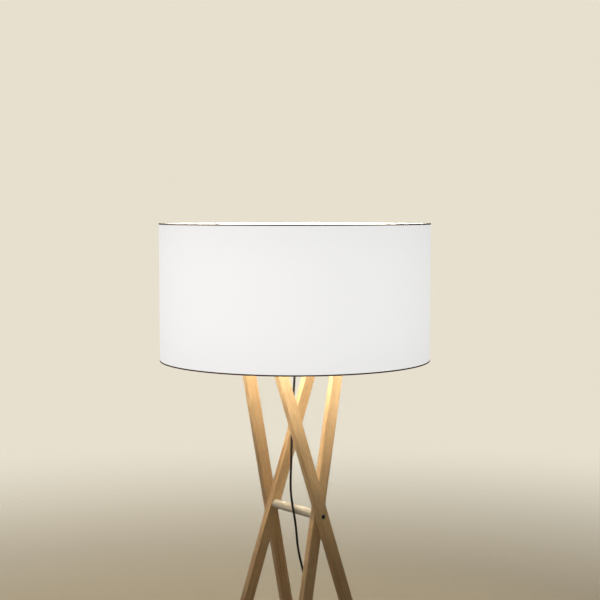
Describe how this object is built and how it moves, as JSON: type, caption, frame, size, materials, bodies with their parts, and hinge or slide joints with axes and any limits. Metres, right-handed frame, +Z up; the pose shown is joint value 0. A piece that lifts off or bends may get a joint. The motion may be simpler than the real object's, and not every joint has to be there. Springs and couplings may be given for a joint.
{
  "type": "floor lamp",
  "caption": "Floor lamp with a wide drum shade on two crossed pairs of oak legs joined by a round crosspiece, with a cord, foot switch and plug.",
  "frame": {"origin": "on the floor, under the middle of the shade and of the legs", "axes": "+Z up; +X is the way each crossed pair of legs spreads; the round crosspiece lies along Y"},
  "size_m": [0.7411, 0.7412, 1.6],
  "materials": {
    "oak": "satin, oiled",
    "pale_oak": "satin",
    "shade_fabric": "matt, fine weave, lets light through",
    "dark_trim": "matt",
    "white_steel": "satin powder coat",
    "black_steel": "satin powder coat",
    "zinc_steel": "bright zinc plate",
    "dark_bolts": "black oxide",
    "brass": "satin",
    "cap_metal": "satin",
    "opal": "opal, glows warm when lit",
    "white_plastic": "semi-gloss",
    "circuit_board": "white solder mask",
    "black_plastic": "satin",
    "block_plastic": "satin",
    "black_cord": "satin sheath",
    "core_insulation": "satin",
    "felt": "matt",
    "plug_pin_metal": "nickel plate",
    "ceramic": "glazed"
  },
  "bodies": {
    "stand": {"bar_front_inner": "oak", "bar_front_outer": "oak", "bar_rear_inner": "oak", "bar_rear_outer": "oak", "coil_tie": "black_plastic", "cord_coil": "black_cord", "cord_drop": "black_cord", "cord_floor": "black_cord", "cord_gland": "black_plastic", "cord_tail": "black_cord", "cross_dowel": "pale_oak", "dowel_inserts": "brass", "feed_wires": "core_insulation", "foot_pads": "felt", "gland_nut": "zinc_steel", "holder_barrel_left": "black_plastic", "holder_barrel_right": "black_plastic", "holder_base_left": "black_plastic", "holder_base_right": "black_plastic", "holder_contact_left": "ceramic", "holder_contact_right": "ceramic", "holder_nipples": "zinc_steel", "inner_lead": "black_cord", "pivot_bolts": "dark_bolts", "plug_body": "black_plastic", "plug_pins": "plug_pin_metal", "post_nuts": "zinc_steel", "post_rod": "zinc_steel", "post_sleeve": "black_steel", "rail": "black_steel", "rail_end_caps": "black_plastic", "rail_screws": "zinc_steel", "shade_seat": "black_steel", "switch_base": "black_plastic", "switch_boots": "black_plastic", "switch_contacts": "block_plastic", "switch_cover": "black_plastic", "switch_screws": "zinc_steel", "switch_spring": "zinc_steel", "terminal_block": "block_plastic", "wiring_box": "black_plastic", "yoke_bolts": "dark_bolts", "yoke_left": "black_steel", "yoke_nuts": "zinc_steel", "yoke_right": "black_steel"},
    "shade": {"shade_drum": "shade_fabric", "top_trim": "dark_trim", "bottom_trim": "dark_trim", "shade_spider": "white_steel", "bottom_ring": "white_steel"},
    "finial": {"finial": "black_steel"},
    "bulb_left": {"bulb_cap_left": "cap_metal", "bulb_housing_left": "white_plastic", "bulb_board_left": "circuit_board", "bulb_globe_left": "opal"},
    "bulb_right": {"bulb_cap_right": "cap_metal", "bulb_housing_right": "white_plastic", "bulb_board_right": "circuit_board", "bulb_globe_right": "opal"},
    "switch_button": {"switch_button": "black_plastic"}
  },
  "joints": [
    {"name": "finial_lift", "type": "slide", "parent": "stand", "child": "finial", "axis": [0, 0, 1], "range_m": [0, 0.4]},
    {"name": "shade_lift", "type": "slide", "parent": "stand", "child": "shade", "axis": [0, 0, 1], "range_m": [0, 0.38]},
    {"name": "bulb_left_out", "type": "slide", "parent": "stand", "child": "bulb_left", "axis": [0, 0, 1], "range_m": [0, 0.06]},
    {"name": "bulb_right_out", "type": "slide", "parent": "stand", "child": "bulb_right", "axis": [0, 0, 1], "range_m": [0, 0.06]},
    {"name": "switch_press", "type": "slide", "parent": "stand", "child": "switch_button", "axis": [0, 0, -1], "range_m": [0, 0.003], "stiffness_N_per_m": 900, "springref_m": -0.001, "deforming": ["switch_spring"]}
  ],
  "couplings": [
    {"joint": "shade_lift", "follows": "finial_lift", "ratio": 0.95}
  ]
}
